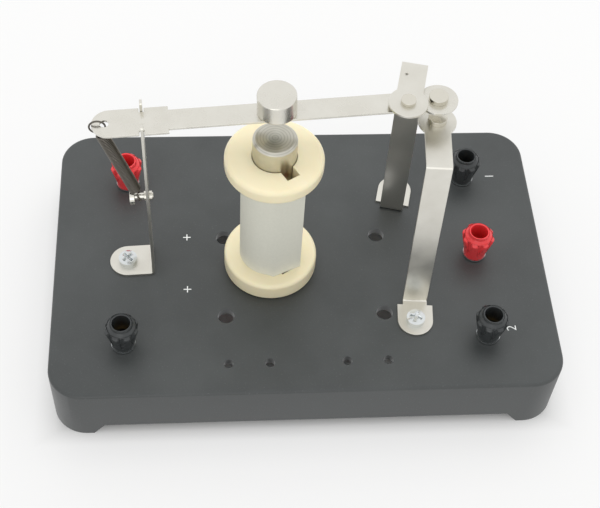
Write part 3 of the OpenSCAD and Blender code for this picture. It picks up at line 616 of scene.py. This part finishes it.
# Polystyrene moulds glossy. Vulcanised fibre is dull and brown, like stiff card.
cap_red = plain_plastic(
    "polystyrene_red_moulded", CAP_RED, CAP_RED_DEEP, roughness=0.25, grain_mm=0.8
)
cap_black = plain_plastic(
    "polystyrene_black_moulded", CAP_BLACK, CAP_BLACK_PALE, roughness=0.32, grain_mm=0.8
)
for name in ("cap_coil_red", "cap_common_red"):
    eased(name, cap_red, ease_mm=0.3)
for name in ("cap_coil_black", "cap_upper_black", "cap_lower_black"):
    eased(name, cap_black, ease_mm=0.3)
eased("terminal_collars", cap_black, ease_mm=0.1)
fibre = plain_plastic(
    "vulcanised_fibre_brown", FIBRE_BROWN, FIBRE_BROWN_DEEP, roughness=0.7, grain_mm=0.3
)
eased("terminal_bushes", fibre, ease_mm=0.1)

# Leads under the deck. Stranded wire in red and black vinyl sleeves, soldered to the tags.
# The soft vinyl has a dull gloss.

VINYL_RED = "#b5202a"
VINYL_RED_DEEP = "#a51a24"
VINYL_BLACK = "#232425"
VINYL_BLACK_PALE = "#2b2c2d"
sleeve_red = plain_plastic(
    "vinyl_sleeve_red", VINYL_RED, VINYL_RED_DEEP, roughness=0.5, grain_mm=0.4
)
sleeve_black = plain_plastic(
    "vinyl_sleeve_black", VINYL_BLACK, VINYL_BLACK_PALE, roughness=0.5, grain_mm=0.4
)
eased("lead_armature", sleeve_red)
eased("lead_upper_contact", sleeve_black)
eased("lead_lower_contact", sleeve_black)

# Table and light. White paper in a white studio, with a large soft box overhead and a smaller
# one in front. To the camera the paper is nearly white, with a soft shadow; under the base it
# stays dark, so that the deck's holes do too.

FLOOR = "#e9e9e8"
FLOOR_HALF = 4.0
BASE_HALF_W = 100
BASE_HALF_D = 65
# The paper turns white between these shares of the base's half width and depth.
WHITE_FROM, WHITE_TO = 0.94, 1.08
# This share of what the camera sees on the open floor is plain white, and the rest is lit.
WHITE_SHARE = 0.6
floor_paper, tree, shader, coords = new_material("floor_paper_white")
shader.inputs["Base Color"].default_value = linear(FLOOR)
shader.inputs["Roughness"].default_value = 0.9
rays = add(tree, "LightPath")
seen = add(
    tree, "Math", {0: rays.outputs["Is Glossy Ray"], 1: rays.outputs["Is Transmission Ray"]},
    operation="MAXIMUM",
)
place = add(tree, "SeparateXYZ", {"Vector": coords})
across = add(tree, "Math", {0: place.outputs["X"], 1: BASE_HALF_W * MM}, operation="DIVIDE")
along = add(tree, "Math", {0: place.outputs["Y"], 1: BASE_HALF_D * MM}, operation="DIVIDE")
across = add(tree, "Math", {0: across.outputs[0]}, operation="ABSOLUTE")
along = add(tree, "Math", {0: along.outputs[0]}, operation="ABSOLUTE")
away = add(tree, "Math", {0: across.outputs[0], 1: along.outputs[0]}, operation="MAXIMUM")
clear = add(
    tree, "MapRange",
    {
        "Value": away.outputs[0], "From Min": WHITE_FROM, "From Max": WHITE_TO,
        "To Max": WHITE_SHARE,
    },
)
direct = add(
    tree, "Math", {0: rays.outputs["Is Camera Ray"], 1: clear.outputs[0]}, operation="MULTIPLY"
)
share = add(tree, "Math", {0: seen.outputs[0], 1: direct.outputs[0]}, operation="MAXIMUM")
glow = add(tree, "Emission", {"Color": (1, 1, 1, 1), "Strength": 0.96})
floor_mix = add(
    tree, "MixShader", {0: share.outputs[0], 1: shader.outputs[0], 2: glow.outputs[0]}
)
tree.links.new(floor_mix.outputs[0], tree.nodes["Material Output"].inputs["Surface"])

shape = bmesh.new()
bmesh.ops.create_grid(shape, x_segments=1, y_segments=1, size=FLOOR_HALF)
floor = piece_from(shape, "table", floor_paper)

world = bpy.data.worlds.new("studio")
world.use_nodes = True
bpy.context.scene.world = world
tree = world.node_tree
rays = add(tree, "LightPath")
studio_wall = tree.nodes["Background"]
studio_wall.inputs["Color"].default_value = (1, 1, 1, 1)
bright = add(
    tree, "Math", {0: rays.outputs["Is Camera Ray"], 1: rays.outputs["Is Glossy Ray"]},
    operation="MAXIMUM",
)
# White to the camera and in reflections, and a little less as light on the object.
level = add(tree, "MapRange", {"Value": bright.outputs[0], "To Min": 0.72, "To Max": 1.0})
tree.links.new(level.outputs[0], studio_wall.inputs["Strength"])


def soft_light(name, place, aim, size, power):
    """A square soft box that points at a spot."""
    lamp = bpy.data.lights.new(name, "AREA")
    lamp.shape = "SQUARE"
    lamp.size = size
    lamp.energy = power
    light = bpy.data.objects.new(name, lamp)
    light.location = place
    light.rotation_euler = (Vector(aim) - Vector(place)).to_track_quat("-Z", "Y").to_euler()
    bpy.context.scene.collection.objects.link(light)
    return light


overhead = soft_light("light_overhead", (0.1, 0.4, 1.0), (0, 0, 0.03), size=1.4, power=9.0)
# The metal mirrors the white studio alone, so this light doesn't burn out its level faces.
overhead.visible_glossy = False
soft_light("light_front", (-0.3, -1.2, 0.4), (0, 0, 0.05), size=0.9, power=2.2)

# Camera. It stands in front of the base, about 54 degrees above the table, and is tilted a
# little to one side. Its place and lens were solved from the edges of the base and the uprights.

TURN = radians(-6.83)
RISE = radians(53.9)
ROLL = radians(4.4)
TARGET = Vector((1.87, 19.86, 0)) * MM
DISTANCE = 551.93 * MM
FOCAL_PX = 1261.6
PICTURE_WIDE_PX = 600
SENSOR_MM = 36

back = Vector((sin(TURN) * cos(RISE), -cos(TURN) * cos(RISE), sin(RISE)))
level_right = Vector((cos(TURN), sin(TURN), 0))
level_up = back.cross(level_right)
right = cos(ROLL) * level_right + sin(ROLL) * level_up
up = cos(ROLL) * level_up - sin(ROLL) * level_right
lens = bpy.data.cameras.new("camera")
lens.sensor_width = SENSOR_MM
lens.lens = SENSOR_MM * FOCAL_PX / PICTURE_WIDE_PX
camera = bpy.data.objects.new("camera", lens)
facing = Matrix((right, up, back)).transposed().to_4x4()
camera.matrix_world = Matrix.Translation(TARGET + DISTANCE * back) @ facing
bpy.context.scene.collection.objects.link(camera)
bpy.context.scene.camera = camera
bpy.context.scene.view_settings.view_transform = "Standard"
